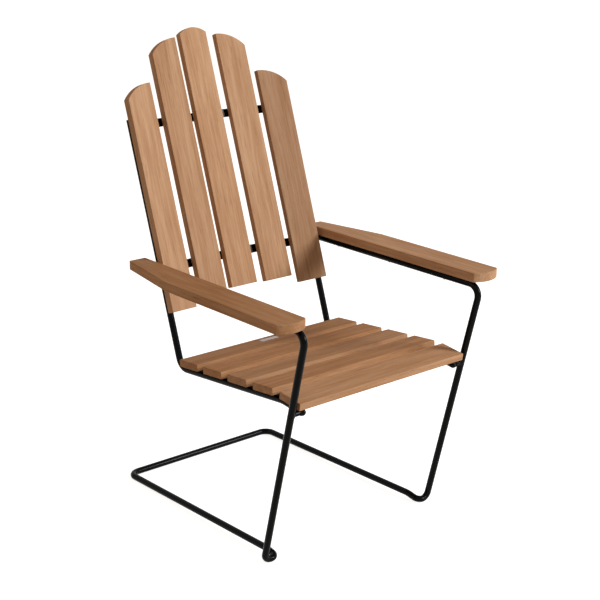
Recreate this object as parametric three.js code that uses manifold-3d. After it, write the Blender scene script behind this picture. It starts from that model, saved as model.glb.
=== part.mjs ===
// Sprung garden armchair: one bent steel rod from arm to floor to arm, two bent side rods that carry
// the seat and the back, flat steel bars across them, and slats and arms of oiled hardwood.
// Millimetres, +Z up. The chair faces -Y, and +X is the sitter's left.

import * as THREE from 'three';
import { mergeVertices } from 'three/addons/utils/BufferGeometryUtils.js';
import Module from 'manifold-3d';

const wasm = await Module();
wasm.setup();

// Steel stock
const rodDiameter = 16;
const crossbarHeight = 20;
const crossbarThickness = 4;
const seatStripWidth = 25;
const seatStripThickness = 3;
const seatStripOuterReach = 2;
const linkDiameter = 12;

// Gap left between pieces that touch
const seatingGap = 0.3;

// Base rod: floor loop, feet, legs and arm rods
const runnerSpacing = 452;
const runnerLength = 583;
const runnerLift = 7.2;
const footSetback = 33;
const footToe = 5;
const footBendRadius = 14.5;
const runnerBendRadius = 80;
const rearBendRadius = 26;
const armBendRadius = 26;
const legRake = THREE.MathUtils.degToRad(14.1);
const legSplay = THREE.MathUtils.degToRad(0.44);
const armRodHeight = 579.8;
const armPitch = THREE.MathUtils.degToRad(0.52);
const armRodTail = 12;

// Seat
const seatSlatLength = 500;
const seatSlatWidth = 68;
const seatSlatThickness = 17;
const seatSlatGap = 22.5;
const seatSlatRounding = 2;
const seatPitch = THREE.MathUtils.degToRad(4.55);
const seatFrontDrop = THREE.MathUtils.degToRad(7.7);
const seatLinkHeight = 385.9;
const railInset = 19;
const railOverhang = 1;
const railTipSetback = 3.2;
const railRearRun = 20.4;
const railBendMargin = 13;
const frontBendMargin = 6.5;
const railFrontBendRadius = 90;
const sideRodBendRadius = 30;
const slatToLegGap = 3;
const stripRearSetback = 8;
const stripFrontSetback = 6;
const slatsOnRail = 4;

// Back
const backRecline = THREE.MathUtils.degToRad(18.25);
const backCurveRadius = 1250;
const lowerCrossbarRise = 239.1;
const upperCrossbarRise = 579.1;
const uprightReach = 12.9;
const backSlatSteps = [2, 1, 0, -1, -2];
const backSlatOverhang = 12.25;
const backSlatThickness = 17;
const backSlatGap = 23.5;
// How far each slat stands off its even place, in shares of the gap
const backSlatShiftShares = [-0.064, 0.026, -0.162, 0.094, -0.055];
const backSlatEdge = 1.2;

// How far each kind of back slat runs on above the upper crossbar and below the lower one
const middleSlatAbove = 200.4;
const middleSlatBelow = 82.2;
const middleSlatCrown = 13.6;
const innerSlatAbove = 193.2;
const innerSlatBelow = 85.7;
const outerSlatAbove = 91.7;
const outerSlatBelow = 106.7;
const slatTopDrop = 35.2;

// Arms
const armrestWidth = 79;
const armrestTailWidth = 44;
const armrestThickness = 21.5;
const armrestTaperLength = 192;
const armrestTail = 35;
const armrestNose = 14;
const armrestInset = 10.3;
const armrestEdge = 1.5;
const armScrewShares = [0.16, 0.5, 0.84];

// Screws
const screwShankDiameter = 4.5;
const screwHeadDiameter = 9;
const screwHeadHeight = 2.8;
const screwTipLength = 3;
const screwTipShare = 0.2;
const screwRimShare = 0.55;
const screwCrownShare = 0.62;
const screwWoodDepth = 12;
const screwHoleClearance = 0.9;
const pilotDepthSpare = 1;
const headRecess = 2.2;
const stripScrewInset = 8;

// Facets
const rodSides = 16;
const holeSides = 12;
const screwSides = 10;
const bendStep = THREE.MathUtils.degToRad(14);
const arcSteps = 10;
const crossbarSteps = 24;
const cornerSteps = 2;
const cutOverrun = 2;

const rodRadius = rodDiameter / 2;
const rodRoomRadius = (rodRadius + seatingGap) / Math.cos(Math.PI / rodSides);
const screwShankRadius = screwShankDiameter / 2;
const screwHeadRadius = screwHeadDiameter / 2;
const holeRadius = screwShankRadius + screwHoleClearance / 2;
const pilotRadius = screwShankRadius + seatingGap;

const steel = new THREE.MeshStandardMaterial({ color: 0x1c1c1c, roughness: 0.45, metalness: 0.2 });
const hardwood = new THREE.MeshStandardMaterial({ color: 0xb88a60, roughness: 0.6, metalness: 0 });
const stainless = new THREE.MeshStandardMaterial({ color: 0x9a9c9e, roughness: 0.35, metalness: 1 });

const chair = new THREE.Group();

// Solids: booleans on closed meshes

function solidOf(geometry) {
  const bare = geometry.clone();
  bare.deleteAttribute('normal');
  bare.deleteAttribute('uv');
  const merged = mergeVertices(bare);
  return new wasm.Manifold(new wasm.Mesh({
    numProp: 3,
    vertProperties: new Float32Array(merged.attributes.position.array),
    triVerts: new Uint32Array(merged.index.array),
  }));
}

function geometryOf(solid) {
  const mesh = solid.getMesh();
  const geometry = new THREE.BufferGeometry();
  geometry.setAttribute('position', new THREE.BufferAttribute(mesh.vertProperties, mesh.numProp));
  geometry.setIndex(new THREE.BufferAttribute(mesh.triVerts, 1));
  geometry.computeVertexNormals();
  return geometry;
}

function cutFrom(geometry, cutters) {
  let solid = solidOf(geometry);
  for (const cutter of cutters) {
    solid = solid.subtract(solidOf(cutter));
  }
  return geometryOf(solid);
}

function addMesh(name, geometry, material, parent = chair) {
  const mesh = new THREE.Mesh(geometry, material);
  mesh.name = name;
  parent.add(mesh);
  return mesh;
}

// A cylinder between two points, used for holes and as room for a rod
function cylinderBetween(start, end, radius, sides) {
  const axis = end.clone().sub(start);
  const geometry = new THREE.CylinderGeometry(radius, radius, axis.length(), sides);
  const up = new THREE.Vector3(0, 1, 0);
  geometry.applyQuaternion(new THREE.Quaternion().setFromUnitVectors(up, axis.clone().normalize()));
  const middle = start.clone().add(end).multiplyScalar(0.5);
  return geometry.translate(middle.x, middle.y, middle.z);
}

// A rod's centre line: straight runs between corners, each corner rounded to its bend radius.
// Its stations lie close together in the bends and only at the ends of the straight runs.
class BentRod extends THREE.Curve {
  constructor(corners, radii) {
    super();
    this.stations = [];
    const last = corners.length - 1;
    const directions = [];
    for (let i = 0; i < last; i += 1) {
      directions.push(corners[i + 1].clone().sub(corners[i]).normalize());
    }
    this.stations.push({ point: corners[0].clone(), tangent: directions[0] });
    for (let i = 1; i < last; i += 1) {
      this.addBend(corners[i], directions[i - 1], directions[i], radii[i - 1]);
    }
    this.stations.push({ point: corners[last].clone(), tangent: directions[last - 1] });
  }

  addBend(corner, into, outOf, radius) {
    const turn = into.angleTo(outOf);
    const steps = Math.max(1, Math.ceil(turn / bendStep));
    const axis = into.clone().cross(outOf).normalize();
    const start = corner.clone().addScaledVector(into, -radius * Math.tan(turn / 2));
    const inward = axis.clone().cross(into).multiplyScalar(radius);
    const centre = start.clone().add(inward);
    for (let step = 0; step <= steps; step += 1) {
      const angle = (turn * step) / steps;
      const point = centre.clone().sub(inward.clone().applyAxisAngle(axis, angle));
      this.stations.push({ point, tangent: into.clone().applyAxisAngle(axis, angle) });
    }
  }

  get steps() {
    return this.stations.length - 1;
  }

  getPoint(share, target = new THREE.Vector3()) {
    return target.copy(this.stations[Math.round(share * this.steps)].point);
  }

  getTangent(share, target = new THREE.Vector3()) {
    return target.copy(this.stations[Math.round(share * this.steps)].tangent);
  }

  getPointAt(share, target) {
    return this.getPoint(share, target);
  }

  getTangentAt(share, target) {
    return this.getTangent(share, target);
  }

  // The section is rolled so that a flat of it faces straight down at the middle station
  computeFrenetFrames(segments, closed) {
    const frames = super.computeFrenetFrames(segments, closed);
    const middle = Math.round(segments / 2);
    const tangent = frames.tangents[middle];
    const level = new THREE.Vector3(0, 0, 1).cross(tangent).normalize();
    const normal = frames.normals[middle];
    const roll = Math.atan2(normal.clone().cross(level).dot(tangent), normal.dot(level));
    for (let i = 0; i <= segments; i += 1) {
      frames.normals[i].applyAxisAngle(frames.tangents[i], roll);
      frames.binormals[i].applyAxisAngle(frames.tangents[i], roll);
    }
    return frames;
  }
}

// The rod's section has its flats at the real radius
function rodSection(radius) {
  const section = new THREE.Shape();
  const corner = radius / Math.cos(Math.PI / rodSides);
  const points = [];
  for (let i = 0; i < rodSides; i += 1) {
    const angle = ((i + 0.5) * 2 * Math.PI) / rodSides;
    points.push(new THREE.Vector2(corner * Math.cos(angle), corner * Math.sin(angle)));
  }
  return section.setFromPoints(points);
}

function rodGeometry(path) {
  return new THREE.ExtrudeGeometry(rodSection(rodRadius), { steps: path.steps, extrudePath: path });
}

// A pan-head screw on the Y axis: the head's seat at the origin, the tip towards -Y
function screwGeometry(shankLength) {
  const crownRadius = screwHeadRadius * screwCrownShare;
  const tipRadius = screwShankRadius * screwTipShare;
  const profile = [
    new THREE.Vector2(0, -shankLength),
    new THREE.Vector2(tipRadius, -shankLength),
    new THREE.Vector2(screwShankRadius, screwTipLength - shankLength),
    new THREE.Vector2(screwShankRadius, 0),
    new THREE.Vector2(screwHeadRadius, 0),
    new THREE.Vector2(screwHeadRadius, screwHeadHeight * screwRimShare),
    new THREE.Vector2(crownRadius, screwHeadHeight),
    new THREE.Vector2(0, screwHeadHeight),
  ];
  return new THREE.LatheGeometry(profile, screwSides);
}

// Leg line: from the foot on the floor up to the arm rod, raked back and splayed a little
const legAtSeat = seatSlatLength / 2 + slatToLegGap + rodRadius;

function legPoint(side, height) {
  const x = legAtSeat + (height - seatLinkHeight) * Math.tan(legSplay);
  const y = -runnerLength - (height - rodRadius) * Math.tan(legRake);
  return new THREE.Vector3(side * x, y, height);
}

// Side rod line, seen from the side: rail end, front bend, seat corner and upright top
const frontRun = frontBendMargin + seatSlatWidth - railTipSetback - rodRadius;
const slatsRun = slatsOnRail * seatSlatWidth + (slatsOnRail - 1) * seatSlatGap;
const rearRun = railBendMargin + slatsRun + railRearRun;
const railSpacing = seatSlatLength - 2 * railInset;
const forwardAlongFront = new THREE.Vector3(0, -Math.cos(seatFrontDrop), -Math.sin(seatFrontDrop));
const backAlongRail = new THREE.Vector3(0, Math.cos(seatPitch), -Math.sin(seatPitch));
const upTheBack = new THREE.Vector3(0, Math.sin(backRecline), Math.cos(backRecline));
const linkPoint = legPoint(0, seatLinkHeight).setX(0);
const railEnd = linkPoint.clone().addScaledVector(forwardAlongFront, railOverhang);
const railBend = railEnd.clone().addScaledVector(forwardAlongFront, -frontRun);
const seatCorner = railBend.clone().addScaledVector(backAlongRail, rearRun);
const uprightEnd = seatCorner.clone().addScaledVector(upTheBack, upperCrossbarRise + uprightReach);

// Arm rod line, and the point where it passes the upright
const armCorner = legPoint(1, armRodHeight);
const backAlongArm = new THREE.Vector3(0, Math.cos(armPitch), Math.sin(armPitch));
const armRise = armCorner.z - seatCorner.z + (seatCorner.y - armCorner.y) * Math.tan(armPitch);
const upToArm = armRise / (Math.cos(backRecline) - Math.sin(backRecline) * Math.tan(armPitch));
const armLinkPoint = seatCorner.clone().addScaledVector(upTheBack, upToArm);
const armRodRun = armLinkPoint.clone().sub(armCorner).dot(backAlongArm) + armRodTail;
const armrestLength = armRodRun - armRodTail + armrestTail;

// Base rod
function baseRodCorners(side) {
  const armEnd = armCorner.clone().addScaledVector(backAlongArm, armRodRun);
  const foot = legPoint(1, rodRadius);
  const corners = [
    armEnd,
    armCorner.clone(),
    foot,
    new THREE.Vector3(runnerSpacing / 2, foot.y - footToe, rodRadius),
    new THREE.Vector3(runnerSpacing / 2, foot.y + footSetback, rodRadius + runnerLift),
    new THREE.Vector3(runnerSpacing / 2, 0, rodRadius),
  ];
  return corners.map((corner) => corner.setX(side * corner.x));
}

const armScrewSpots = armScrewShares.map((share) => share * (armRodRun - armBendRadius) + armBendRadius);

function armScrewAxis(side, spot) {
  const onRod = armCorner.clone().addScaledVector(backAlongArm, spot);
  onRod.setX(side * onRod.x);
  const up = new THREE.Vector3(0, -Math.sin(armPitch), Math.cos(armPitch));
  return { onRod, up };
}

function makeBaseRod() {
  const right = baseRodCorners(-1);
  const left = baseRodCorners(1).reverse();
  const bends = [armBendRadius, footBendRadius, footBendRadius, runnerBendRadius, rearBendRadius];
  const path = new BentRod([...right, ...left], [...bends, ...bends.toReversed()]);
  const cutters = [];
  for (const side of [-1, 1]) {
    for (const spot of armScrewSpots) {
      const { onRod, up } = armScrewAxis(side, spot);
      const below = onRod.clone().addScaledVector(up, -rodRadius - cutOverrun);
      const above = onRod.clone().addScaledVector(up, rodRadius + cutOverrun);
      const recessTop = onRod.clone().addScaledVector(up, headRecess - rodRadius);
      cutters.push(cylinderBetween(below, above, holeRadius, holeSides));
      cutters.push(cylinderBetween(below, recessTop, screwHeadRadius + seatingGap, holeSides));
    }
  }
  addMesh('base_rod', cutFrom(rodGeometry(path), cutters), steel);
}

// Side rods: upright, seat rail and a rail end rounded off in front
function makeSideRod(name, side) {
  const line = [uprightEnd, seatCorner, railBend, railEnd];
  const corners = line.map((point) => point.clone().setX((side * railSpacing) / 2));
  const path = new BentRod(corners, [sideRodBendRadius, railFrontBendRadius]);
  const tip = corners[corners.length - 1];
  const dome = new THREE.SphereGeometry(rodRadius, rodSides, rodSides / 2);
  dome.translate(tip.x, tip.y, tip.z);
  addMesh(name, geometryOf(solidOf(rodGeometry(path)).add(solidOf(dome))), steel);
}

// Short round links welded between a rod of the base and a side rod
function makeLink(name, point, outer, side) {
  const inner = (side * railSpacing) / 2;
  const span = Math.abs(side * outer - inner);
  const body = new THREE.CylinderGeometry(linkDiameter / 2, linkDiameter / 2, span, rodSides);
  body.rotateZ(Math.PI / 2);
  body.translate((inner + side * outer) / 2, point.y, point.z);
  return { name, body };
}

function makeLinks(name, side) {
  const roomBetween = (start, end) => cylinderBetween(start, end, rodRoomRadius, rodSides);
  const onRail = (point) => point.clone().setX((side * railSpacing) / 2);
  const railFront = railEnd.clone().addScaledVector(forwardAlongFront, linkDiameter);
  const railRoom = roomBetween(onRail(railFront), onRail(railBend));
  const legRoom = roomBetween(legPoint(side, rodRadius), legPoint(side, armRodHeight));
  const legLink = makeLink(`leg_link_${name}`, linkPoint, legAtSeat, side);
  addMesh(legLink.name, cutFrom(legLink.body, [railRoom, legRoom]), steel);

  const uprightRoom = roomBetween(onRail(seatCorner), onRail(uprightEnd));
  const armStart = armCorner.clone().setX(side * armCorner.x);
  const armEnd = armStart.clone().addScaledVector(backAlongArm, armRodRun + cutOverrun);
  const armRoom = roomBetween(armStart, armEnd);
  const armLink = makeLink(`arm_link_${name}`, armLinkPoint, armCorner.x, side);
  addMesh(armLink.name, cutFrom(armLink.body, [uprightRoom, armRoom]), steel);
}

// Seat: a flat strip on each rail, five slats, and screws up through the strips
const stripLevel = rodRadius + seatingGap;
const slatLevel = stripLevel + seatStripThickness + seatingGap;
const stripOuterX = railSpacing / 2 + seatStripOuterReach;
const stripScrewX = stripOuterX - seatStripWidth + stripScrewInset;

const railGroup = new THREE.Group();
railGroup.position.copy(railBend);
railGroup.rotation.x = -seatPitch;
const frontGroup = new THREE.Group();
frontGroup.position.copy(railBend);
frontGroup.rotation.x = seatFrontDrop;
chair.add(railGroup, frontGroup);

const seatPlaces = [];
for (let i = 0; i < slatsOnRail; i += 1) {
  const stepsBack = slatsOnRail - 1 - i;
  const y = railBendMargin + seatSlatWidth / 2 + stepsBack * (seatSlatWidth + seatSlatGap);
  seatPlaces.push({ group: railGroup, y });
}
seatPlaces.push({ group: frontGroup, y: -frontBendMargin - seatSlatWidth / 2 });

function roundedBar(width, height, rounding) {
  const x = width / 2;
  const y = height / 2;
  const shape = new THREE.Shape();
  shape.absarc(x - rounding, y - rounding, rounding, 0, Math.PI / 2);
  shape.absarc(rounding - x, y - rounding, rounding, Math.PI / 2, Math.PI);
  shape.absarc(rounding - x, rounding - y, rounding, Math.PI, 1.5 * Math.PI);
  shape.absarc(x - rounding, rounding - y, rounding, 1.5 * Math.PI, 2 * Math.PI);
  return shape;
}

function screwHole(x, y, bottom, top, radius) {
  const start = new THREE.Vector3(x, y, bottom);
  const end = new THREE.Vector3(x, y, top);
  return cylinderBetween(start, end, radius, holeSides);
}

function makeSeatSlat(name, place) {
  const section = roundedBar(seatSlatWidth, seatSlatThickness, seatSlatRounding);
  const body = new THREE.ExtrudeGeometry(section, {
    depth: seatSlatLength,
    bevelEnabled: false,
    curveSegments: cornerSteps,
  });
  body.translate(0, 0, -seatSlatLength / 2);
  body.rotateY(Math.PI / 2);
  body.rotateX(Math.PI / 2);
  const bottom = -seatSlatThickness / 2 - cutOverrun;
  const top = screwWoodDepth + pilotDepthSpare - seatSlatThickness / 2;
  const holes = [-1, 1].map((side) => screwHole(side * stripScrewX, 0, bottom, top, pilotRadius));
  const slat = addMesh(name, cutFrom(body, holes), hardwood, place.group);
  slat.position.set(0, place.y, slatLevel + seatSlatThickness / 2);
}

// The strip's side profile follows the rail over its front bend
function makeSeatStrip(name, side) {
  const rear = rearRun - railRearRun - stripRearSetback;
  const front = -frontRun - rodRadius + stripFrontSetback;
  const outline = new THREE.Shape();
  const profile = (distance, level) => {
    const group = distance > 0 ? railGroup : frontGroup;
    const point = new THREE.Vector3(0, distance, level).applyEuler(group.rotation);
    return new THREE.Vector2(point.y, point.z);
  };
  const crease = (level) => {
    const half = (seatPitch + seatFrontDrop) / 2;
    const lean = (seatPitch - seatFrontDrop) / 2;
    const reach = level / Math.cos(half);
    return new THREE.Vector2(reach * Math.sin(lean), reach * Math.cos(lean));
  };
  const bottom = stripLevel;
  const top = stripLevel + seatStripThickness;
  outline.setFromPoints([
    profile(front, bottom),
    crease(bottom),
    profile(rear, bottom),
    profile(rear, top),
    crease(top),
    profile(front, top),
  ]);
  const body = new THREE.ExtrudeGeometry(outline, { depth: seatStripWidth, bevelEnabled: false });
  // The profile's Y and Z become the chair's Y and Z, and its depth runs along X
  body.applyMatrix4(new THREE.Matrix4().makeBasis(
    new THREE.Vector3(0, 1, 0),
    new THREE.Vector3(0, 0, 1),
    new THREE.Vector3(1, 0, 0),
  ));
  body.translate(side > 0 ? stripOuterX - seatStripWidth : -stripOuterX, 0, 0);
  const holes = seatPlaces.map((place) => {
    const hole = screwHole(side * stripScrewX, place.y, bottom - cutOverrun, top + cutOverrun, holeRadius);
    return hole.applyMatrix4(new THREE.Matrix4().makeRotationFromEuler(place.group.rotation));
  });
  const strip = addMesh(name, cutFrom(body, holes), steel);
  strip.position.copy(railBend);
}

function makeSeatScrew(name, side, place) {
  const length = seatStripThickness + 2 * seatingGap + screwWoodDepth;
  const body = screwGeometry(length);
  body.rotateX(-Math.PI / 2);
  const screw = addMesh(name, body, stainless, place.group);
  screw.position.set(side * stripScrewX, place.y, stripLevel - seatingGap);
}

// Back: two curved crossbars, five slats tangent to them, and screws from behind.
// The group's Z runs up the uprights from the seat corner, and its Y points to the rear.
const backGroup = new THREE.Group();
backGroup.position.copy(seatCorner);
backGroup.rotation.x = -backRecline;
chair.add(backGroup);

const crossbarReach = railSpacing / 2;
const crossbarSag = backCurveRadius - Math.sqrt(backCurveRadius ** 2 - crossbarReach ** 2);
const curveCentre = crossbarSag + seatingGap - rodRadius - backCurveRadius;
const crossbarRises = { lower: lowerCrossbarRise, upper: upperCrossbarRise };

const backSpread = railSpacing + 2 * backSlatOverhang;
const backSlatPitch = (backSpread + backSlatGap) / backSlatSteps.length;
const backSlatWidth = backSlatPitch - backSlatGap;
const backSlatTurns = backSlatSteps.map((steps, i) => {
  const shift = backSlatShiftShares[i] * backSlatGap;
  return (steps * backSlatPitch + shift) / backCurveRadius;
});
const slatSeat = Math.sqrt((backCurveRadius - seatingGap) ** 2 - (backSlatWidth / 2) ** 2) - seatingGap;
const slatRunAbove = [middleSlatAbove, innerSlatAbove, outerSlatAbove];
const slatRunBelow = [middleSlatBelow, innerSlatBelow, outerSlatBelow];

// The crossbars curve in a level plane, so away from the middle they come lower on the leaning back
const barSlope = Math.tan(backRecline);

function barDrop(turn) {
  return backCurveRadius * (1 - Math.cos(turn)) * barSlope;
}

function makeCrossbar(name, rise) {
  const outerRadius = backCurveRadius + crossbarThickness;
  const halfTurn = Math.asin(crossbarReach / backCurveRadius);
  const outerHalfTurn = Math.asin(crossbarReach / outerRadius);
  const outline = new THREE.Shape();
  const up = Math.PI / 2;
  outline.absarc(0, 0, backCurveRadius, up - halfTurn, up + halfTurn, false);
  outline.absarc(0, 0, outerRadius, up + outerHalfTurn, up - outerHalfTurn, true);
  const body = new THREE.ExtrudeGeometry(outline, {
    depth: crossbarHeight,
    bevelEnabled: false,
    curveSegments: crossbarSteps,
  });
  body.applyMatrix4(new THREE.Matrix4().makeShear(0, 0, 0, barSlope, 0, 0));
  body.translate(0, 0, -crossbarHeight / 2 - backCurveRadius * barSlope);
  const holes = backSlatTurns.map((turn) => {
    const start = new THREE.Vector3(0, backCurveRadius - cutOverrun, -barDrop(turn));
    const end = new THREE.Vector3(0, outerRadius + cutOverrun, -barDrop(turn));
    return cylinderBetween(start, end, holeRadius, holeSides).rotateZ(-turn);
  });
  const copes = [-1, 1].map((side) => {
    const bottom = -crossbarHeight - barDrop(halfTurn);
    const start = new THREE.Vector3(side * crossbarReach, -curveCentre, bottom);
    const end = new THREE.Vector3(side * crossbarReach, -curveCentre, crossbarHeight);
    return cylinderBetween(start, end, rodRoomRadius, rodSides);
  });
  const bar = addMesh(name, cutFrom(body, [...holes, ...copes]), steel, backGroup);
  bar.position.set(0, curveCentre, rise);
}

function backSlatFoot(steps) {
  return lowerCrossbarRise - slatRunBelow[Math.abs(steps)];
}

// The middle slat has a round crown, and the others fall away outwards along an arc
function backSlatOutline(steps) {
  const half = backSlatWidth / 2;
  const order = Math.abs(steps);
  const height = upperCrossbarRise + slatRunAbove[order] - backSlatFoot(steps);
  const outline = [new THREE.Vector2(-half, 0), new THREE.Vector2(half, 0)];
  const top = new THREE.Path();
  if (order === 0) {
    const radius = (half ** 2 + middleSlatCrown ** 2) / (2 * middleSlatCrown);
    const sweep = Math.asin(half / radius);
    const centre = height + middleSlatCrown - radius;
    top.absarc(0, centre, radius, Math.PI / 2 - sweep, Math.PI / 2 + sweep, false);
  } else {
    const radius = (backSlatWidth ** 2 + slatTopDrop ** 2) / (2 * slatTopDrop);
    const sweep = Math.asin(backSlatWidth / radius);
    top.absarc(-half, height - radius, radius, Math.PI / 2 - sweep, Math.PI / 2, false);
  }
  outline.push(...top.getPoints(arcSteps));
  const mirror = steps < 0 ? -1 : 1;
  return new THREE.Shape(outline.map((point) => new THREE.Vector2(mirror * point.x, point.y)));
}

function makeBackSlat(name, steps, turn) {
  const foot = backSlatFoot(steps);
  const body = new THREE.ExtrudeGeometry(backSlatOutline(steps), {
    depth: backSlatThickness - 2 * backSlatEdge,
    bevelThickness: backSlatEdge,
    bevelSize: backSlatEdge,
    bevelOffset: -backSlatEdge,
    bevelSegments: 1,
  });
  body.translate(0, 0, backSlatEdge);
  body.rotateX(Math.PI / 2);
  const pilot = screwWoodDepth + pilotDepthSpare;
  const holes = Object.values(crossbarRises).map((rise) => {
    const height = rise - barDrop(turn) - foot;
    const start = new THREE.Vector3(0, cutOverrun, height);
    const end = new THREE.Vector3(0, -pilot, height);
    return cylinderBetween(start, end, pilotRadius, holeSides);
  });
  const turner = new THREE.Group();
  turner.position.set(0, curveCentre, 0);
  turner.rotation.z = -turn;
  backGroup.add(turner);
  const slat = addMesh(name, cutFrom(body, holes), hardwood, turner);
  slat.position.set(0, slatSeat, foot);
  return turner;
}

function makeBackScrew(name, turner, height) {
  const length = backCurveRadius - slatSeat + crossbarThickness + seatingGap + screwWoodDepth;
  const screw = addMesh(name, screwGeometry(length), stainless, turner);
  screw.position.set(0, backCurveRadius + crossbarThickness + seatingGap, height);
}

// Armrests lie on the arm rods. The group's Y runs back along the rod from the nose.
function armrestOutline() {
  const half = armrestWidth / 2;
  const noseRadius = (half ** 2 + armrestNose ** 2) / (2 * armrestNose);
  const sweep = Math.asin(half / noseRadius);
  const nose = new THREE.Path();
  const down = -Math.PI / 2;
  nose.absarc(half, noseRadius, noseRadius, down - sweep, down + sweep, false);
  return [
    ...nose.getPoints(arcSteps),
    new THREE.Vector2(armrestWidth, armrestLength - armrestTaperLength),
    new THREE.Vector2(armrestTailWidth, armrestLength),
    new THREE.Vector2(0, armrestLength),
  ];
}

function makeArmrest(name, side) {
  const outline = armrestOutline().map((point) => new THREE.Vector2(side * point.x, point.y));
  const body = new THREE.ExtrudeGeometry(new THREE.Shape(outline), {
    depth: armrestThickness - 2 * armrestEdge,
    bevelThickness: armrestEdge,
    bevelSize: armrestEdge,
    bevelOffset: -armrestEdge,
    bevelSegments: 1,
  });
  body.translate(0, 0, armrestEdge);
  const holes = armScrewSpots.map((spot) => {
    const depth = screwWoodDepth + pilotDepthSpare;
    return screwHole(side * armrestInset, spot, -cutOverrun, depth, pilotRadius);
  });
  const group = new THREE.Group();
  group.position.set(side * armCorner.x, armCorner.y, armCorner.z);
  group.rotation.x = armPitch;
  chair.add(group);
  const armrest = addMesh(name, cutFrom(body, holes), hardwood, group);
  armrest.position.set(-side * armrestInset, 0, rodRadius + seatingGap);
  return group;
}

function makeArmScrew(name, group, spot) {
  const length = 2 * rodRadius - headRecess + 2 * seatingGap + screwWoodDepth;
  const body = screwGeometry(length);
  body.rotateX(-Math.PI / 2);
  const screw = addMesh(name, body, stainless, group);
  screw.position.set(0, spot, headRecess - rodRadius - seatingGap);
}

makeBaseRod();
for (const [name, side] of [['left', 1], ['right', -1]]) {
  makeSideRod(`side_rod_${name}`, side);
  makeLinks(name, side);
  makeSeatStrip(`seat_strip_${name}`, side);
  seatPlaces.forEach((place, i) => makeSeatScrew(`seat_screw_${name}_${i + 1}`, side, place));
  const armGroup = makeArmrest(`armrest_${name}`, side);
  armScrewSpots.forEach((spot, i) => makeArmScrew(`arm_screw_${name}_${i + 1}`, armGroup, spot));
}
seatPlaces.forEach((place, i) => makeSeatSlat(`seat_slat_${i + 1}`, place));
for (const [name, rise] of Object.entries(crossbarRises)) {
  makeCrossbar(`${name}_crossbar`, rise);
}
backSlatSteps.forEach((steps, i) => {
  const turn = backSlatTurns[i];
  const turner = makeBackSlat(`back_slat_${i + 1}`, steps, turn);
  for (const [level, rise] of Object.entries(crossbarRises)) {
    makeBackScrew(`back_screw_${level}_${i + 1}`, turner, rise - barDrop(turn));
  }
});

// The origin is on the floor at the middle of the chair's footprint
const whole = new THREE.Box3().setFromObject(chair, true);
chair.position.set(0, -(whole.min.y + whole.max.y) / 2, -whole.min.z);

export default chair;
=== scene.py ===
# %% [markdown]
# # Sprung garden armchair
# The chair comes in as a fixed frame of plain solids. This lesson makes each piece again with
# round rods, eased edges and real finishes, and sets it exactly where the solid is. The frame's
# box is kept first, because the finished chair has to come out the same size.

# %% Load the frame and keep its box
import math
import random

import bmesh
import bpy
from mathutils import Matrix, Vector


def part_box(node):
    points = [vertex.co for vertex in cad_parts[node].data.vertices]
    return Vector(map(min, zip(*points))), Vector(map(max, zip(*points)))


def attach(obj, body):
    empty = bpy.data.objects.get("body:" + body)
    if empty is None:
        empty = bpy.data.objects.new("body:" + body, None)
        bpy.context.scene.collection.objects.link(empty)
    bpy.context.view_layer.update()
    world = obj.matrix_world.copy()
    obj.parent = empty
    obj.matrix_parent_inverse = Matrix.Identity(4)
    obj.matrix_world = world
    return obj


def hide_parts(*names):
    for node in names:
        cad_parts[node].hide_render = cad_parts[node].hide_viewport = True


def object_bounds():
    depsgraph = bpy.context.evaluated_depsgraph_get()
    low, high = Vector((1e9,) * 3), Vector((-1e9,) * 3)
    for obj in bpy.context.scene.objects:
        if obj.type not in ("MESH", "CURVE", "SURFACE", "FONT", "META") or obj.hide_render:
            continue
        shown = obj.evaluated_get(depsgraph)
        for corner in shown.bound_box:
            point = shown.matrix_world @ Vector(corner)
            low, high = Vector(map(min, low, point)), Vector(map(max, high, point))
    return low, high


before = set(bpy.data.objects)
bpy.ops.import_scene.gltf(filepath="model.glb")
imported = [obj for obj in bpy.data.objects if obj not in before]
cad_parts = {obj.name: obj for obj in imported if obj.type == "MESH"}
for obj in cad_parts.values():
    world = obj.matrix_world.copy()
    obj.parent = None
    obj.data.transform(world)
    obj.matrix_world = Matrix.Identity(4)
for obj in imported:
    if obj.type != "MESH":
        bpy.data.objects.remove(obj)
cad_low, cad_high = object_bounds()
MM = 0.001
cad_size = [round(side / MM) for side in cad_high - cad_low]
print("frame:", len(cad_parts), "nodes,", cad_size, "mm")

# %% [markdown]
# The picture was taken with a long lens, off the chair's right front corner and from above the
# height of its back. The camera's place, turn and lens were worked out from the chair's straight
# lines, so here they are only set. The small roll is real: the chair leans a quarter of a degree
# in its picture.

# %% Camera
camera_place = Vector((-2045.55, -2424.50, 1497.56)) * MM
camera_turn = math.radians(-40.689)
camera_dip = math.radians(17.251)
camera_roll = math.radians(0.225)
focal_pixels = 1405.1
picture_pixels = 600
sensor_mm = 36


def aim_camera():
    flat = math.cos(camera_dip)
    ahead = Vector((
        -math.sin(camera_turn) * flat, math.cos(camera_turn) * flat, -math.sin(camera_dip),
    ))
    level = ahead.cross(Vector((0, 0, 1))).normalized()
    upright = level.cross(ahead)
    right = level * math.cos(camera_roll) + upright * math.sin(camera_roll)
    axes = Matrix((right, right.cross(ahead), -ahead)).transposed()
    data = bpy.data.cameras.new("picture_camera")
    data.sensor_width = sensor_mm
    data.lens = focal_pixels / picture_pixels * sensor_mm
    camera = bpy.data.objects.new("picture_camera", data)
    camera.matrix_world = Matrix.Translation(camera_place) @ axes.to_4x4()
    bpy.context.scene.collection.objects.link(camera)
    bpy.context.scene.camera = camera
    return camera


print("lens:", round(aim_camera().data.lens, 1), "mm")

# %% [markdown]
# Materials are graphs of nodes. One small function adds a node, sets it and links it, so that a
# finish below reads from top to bottom like a recipe. Colours are written as they look on a
# screen, in hex, and Blender works in linear light, so another function turns one into the other.

# %% Colour and node helpers


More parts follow.
